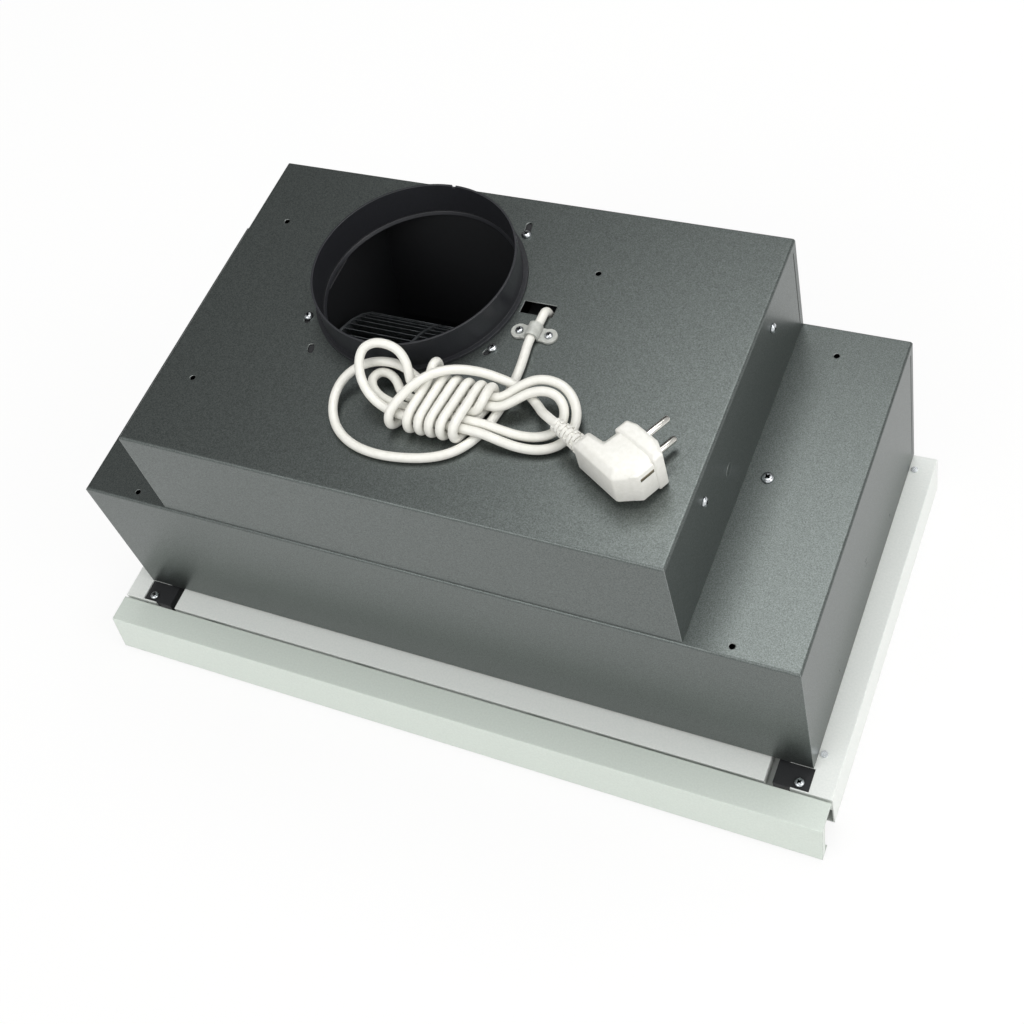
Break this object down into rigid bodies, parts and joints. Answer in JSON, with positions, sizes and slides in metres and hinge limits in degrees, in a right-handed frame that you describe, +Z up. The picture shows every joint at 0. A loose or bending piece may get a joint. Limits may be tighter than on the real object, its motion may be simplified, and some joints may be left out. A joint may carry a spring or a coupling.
{
  "type": "pull-out built-in cooker hood",
  "caption": "Pull-out cooker hood for a wall cupboard, laid on its intake side: dark steel body, duct collar, white underframe, sliding drawer with front strip and a bundled mains cord.",
  "frame": {"origin": "middle of the footprint at the underside, without the mains cord", "axes": "+Z up through the duct collar, -Y towards the front strip, +X right along the strip"},
  "size_m": [0.598, 0.322, 0.3053],
  "materials": {
    "body_paint": "charcoal powder coat, fine texture",
    "white_paint": "white enamel, satin",
    "collar_plastic": "black moulded plastic",
    "black_plastic": "black moulded plastic",
    "white_plastic": "white moulded plastic",
    "galvanised": "galvanised sheet",
    "wheel_steel": "pressed sheet, dull",
    "motor_steel": "grey lacquer",
    "capacitor_white": "moulded can",
    "clamp_nylon": "natural nylon",
    "seal_foam": "closed foam",
    "filter_aluminium": "expanded mesh and folded sheet",
    "lens_glass": "frosted",
    "cord_white": "soft white PVC",
    "pin_nickel": "nickel plated brass",
    "screw_zinc": "zinc plated"
  },
  "bodies": {
    "hood": {"blower_scroll": "galvanised", "body_back_panel": "body_paint", "body_screws": "screw_zinc", "body_shell": "body_paint", "centre_bar": "galvanised", "clamp_screws": "screw_zinc", "collar_screws": "screw_zinc", "cord_clamp": "clamp_nylon", "cord_hank": "cord_white", "cord_lead": "cord_white", "cord_tail": "cord_white", "duct_collar": "collar_plastic", "fan_motor": "motor_steel", "filter_frame_left": "filter_aluminium", "filter_frame_right": "filter_aluminium", "filter_mesh_left": "filter_aluminium", "filter_mesh_right": "filter_aluminium", "frame_rivets": "screw_zinc", "frame_seal": "seal_foam", "guide_rail_left": "black_plastic", "guide_rail_right": "black_plastic", "guide_screws": "screw_zinc", "lamp_housings": "filter_aluminium", "lamp_lenses": "lens_glass", "lamp_panel": "white_paint", "motor_bracket": "galvanised", "plug_body": "cord_white", "plug_pins": "pin_nickel", "plug_relief": "cord_white", "run_capacitor": "capacitor_white", "terminal_box": "black_plastic", "tower_back_panel": "body_paint", "tower_braces": "galvanised", "tower_shell": "body_paint", "tower_side_screws": "screw_zinc", "underframe": "white_paint"},
    "drawer": {"drawer_tray": "white_paint", "strip_spacers": "black_plastic", "strip_screws": "screw_zinc", "front_strip": "white_paint", "drawer_filter_frame": "filter_aluminium", "drawer_filter_mesh": "filter_aluminium", "switch_box": "white_plastic"},
    "latch": {"filter_latch": "black_plastic"},
    "fan": {"fan_wheel": "wheel_steel"},
    "button_off": {"button_off": "white_plastic"},
    "button_low": {"button_low": "white_plastic"},
    "button_middle": {"button_middle": "white_plastic"},
    "button_high": {"button_high": "white_plastic"},
    "button_light": {"button_light": "white_plastic"}
  },
  "joints": [
    {"name": "drawer_slide", "type": "slide", "parent": "hood", "child": "drawer", "axis": [0, -1, 0], "range_m": [0, 0.15]},
    {"name": "latch_slide", "type": "slide", "parent": "drawer", "child": "latch", "axis": [0, 1, 0], "range_m": [0, 0.0055], "stiffness_N_per_m": 200},
    {"name": "fan_spin", "type": "hinge", "parent": "hood", "child": "fan", "pos_m": [-0.044, 0.004, 0.163], "axis": [1, 0, 0], "continuous": true},
    {"name": "button_off_press", "type": "slide", "parent": "drawer", "child": "button_off", "axis": [0, 0, 1], "range_m": [0, 0.002], "stiffness_N_per_m": 200},
    {"name": "button_low_press", "type": "slide", "parent": "drawer", "child": "button_low", "axis": [0, 0, 1], "range_m": [0, 0.002], "stiffness_N_per_m": 200},
    {"name": "button_middle_press", "type": "slide", "parent": "drawer", "child": "button_middle", "axis": [0, 0, 1], "range_m": [0, 0.002], "stiffness_N_per_m": 200},
    {"name": "button_high_press", "type": "slide", "parent": "drawer", "child": "button_high", "axis": [0, 0, 1], "range_m": [0, 0.002], "stiffness_N_per_m": 200},
    {"name": "button_light_press", "type": "slide", "parent": "drawer", "child": "button_light", "axis": [0, 0, 1], "range_m": [0, 0.002], "stiffness_N_per_m": 200}
  ]
}
